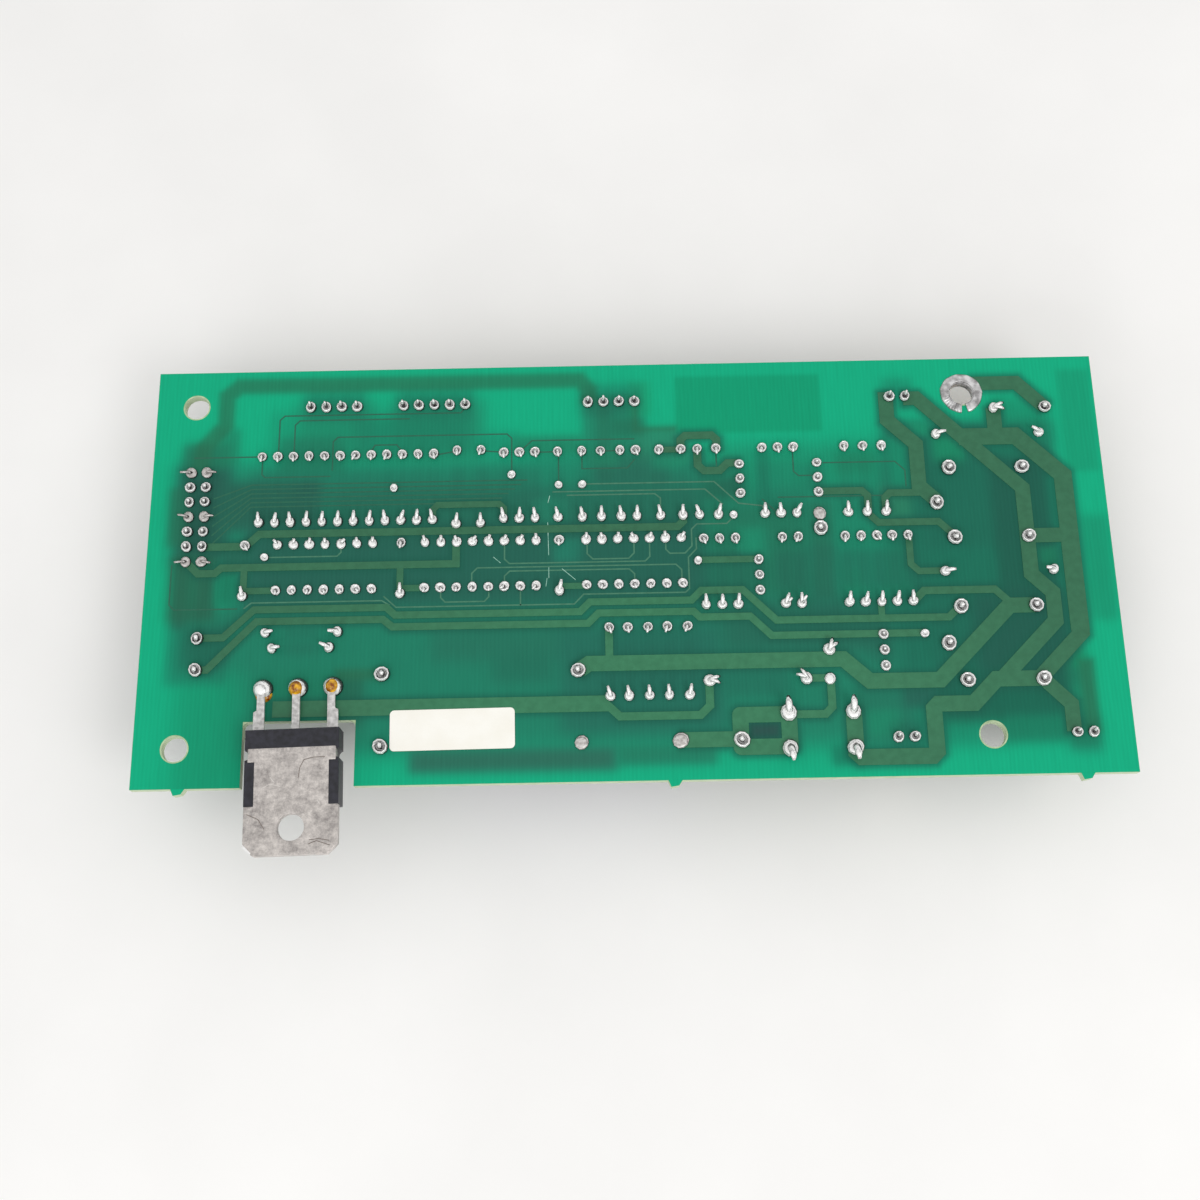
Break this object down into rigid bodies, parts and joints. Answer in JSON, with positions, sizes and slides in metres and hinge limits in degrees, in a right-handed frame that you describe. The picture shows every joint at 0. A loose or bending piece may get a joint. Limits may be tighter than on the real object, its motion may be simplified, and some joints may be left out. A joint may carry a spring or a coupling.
{
  "type": "cutter control board",
  "caption": "Through-hole control circuit board, solder side up, with a power transistor lying in an edge notch for a heat sink and connectors, relays and chips on the other side",
  "frame": {"origin": "middle of the four fixing holes, on the solder side of the laminate", "axes": "+X along the long side, +Y across the board away from the transistor's edge, +Z out of the solder side"},
  "size_m": [0.1542, 0.0804, 0.0205],
  "materials": {
    "solder_mask": "green solder mask on glass-epoxy laminate, satin gloss",
    "masked_copper": "copper foil under green solder mask",
    "solder": "reflowed tin-lead solder, semi-bright",
    "label_paper": "cream-white printed-label stock, left blank",
    "transistor_mould": "black moulding compound",
    "transistor_metal": "tinned copper tab, dull and scratched",
    "tinned_lead": "tinned lead wire or leg",
    "chip_mould": "black moulding compound",
    "header_nylon": "natural nylon",
    "shroud_plastic": "black glass-filled polyester",
    "relay_case": "black moulded relay case",
    "resistor_coat": "tan lacquer",
    "ceramic_block": "white cement-filled ceramic",
    "diode_body": "black epoxy",
    "glass_diode": "orange glass bead, treated as opaque",
    "bead_capacitor": "amber dipped coat",
    "capacitor_sleeve": "dark blue shrink sleeve",
    "film_box": "yellow moulded box",
    "sense_coat": "grey-green cement coat",
    "blade_tin": "tinned brass"
  },
  "bodies": {
    "root": {"blade_terminals": "blade_tin", "brake_resistor": "ceramic_block", "brake_resistor_leads": "tinned_lead", "bypass_capacitors": "bead_capacitor", "bypass_capacitors_leads": "tinned_lead", "capacitor_legs": "tinned_lead", "chip_joints": "solder", "circuit_board": "solder_mask", "clinched_joints": "solder", "component_side_tracks": "masked_copper", "driver_resistors": "resistor_coat", "driver_resistors_leads": "tinned_lead", "filled_holes": "solder", "film_capacitor": "film_box", "filter_capacitor": "capacitor_sleeve", "filter_capacitor_leads": "tinned_lead", "gate_resistors": "resistor_coat", "gate_resistors_leads": "tinned_lead", "header_joints": "solder", "header_pins": "tinned_lead", "label": "label_paper", "left_chip_case": "chip_mould", "left_chip_legs": "tinned_lead", "logic_resistors": "resistor_coat", "logic_resistors_leads": "tinned_lead", "lower_relay": "relay_case", "middle_chip_case": "chip_mould", "middle_chip_legs": "tinned_lead", "motor_header_housing": "header_nylon", "panel_header_housing": "header_nylon", "plated_hole_ring": "solder", "power_diode": "diode_body", "power_diode_leads": "tinned_lead", "power_joints": "solder", "relay_diodes": "diode_body", "relay_diodes_leads": "tinned_lead", "relay_pins": "tinned_lead", "resistors": "resistor_coat", "resistors_leads": "tinned_lead", "ribbon_header_pins": "tinned_lead", "ribbon_header_shell": "shroud_plastic", "right_chip_case": "chip_mould", "right_chip_legs": "tinned_lead", "sense_resistor": "sense_coat", "sense_resistor_leads": "tinned_lead", "sensor_header_housing": "header_nylon", "signal_diodes": "glass_diode", "signal_diodes_leads": "tinned_lead", "small_transistor_legs": "tinned_lead", "small_transistors": "chip_mould", "solder_side_tracks": "masked_copper", "supply_capacitor": "capacitor_sleeve", "transistor_case": "transistor_mould", "transistor_leads": "tinned_lead", "transistor_solder": "solder", "transistor_tab": "transistor_metal", "two_pin_header_pins": "tinned_lead", "two_pin_housings": "header_nylon", "upper_relay": "relay_case"}
  },
  "joints": []
}
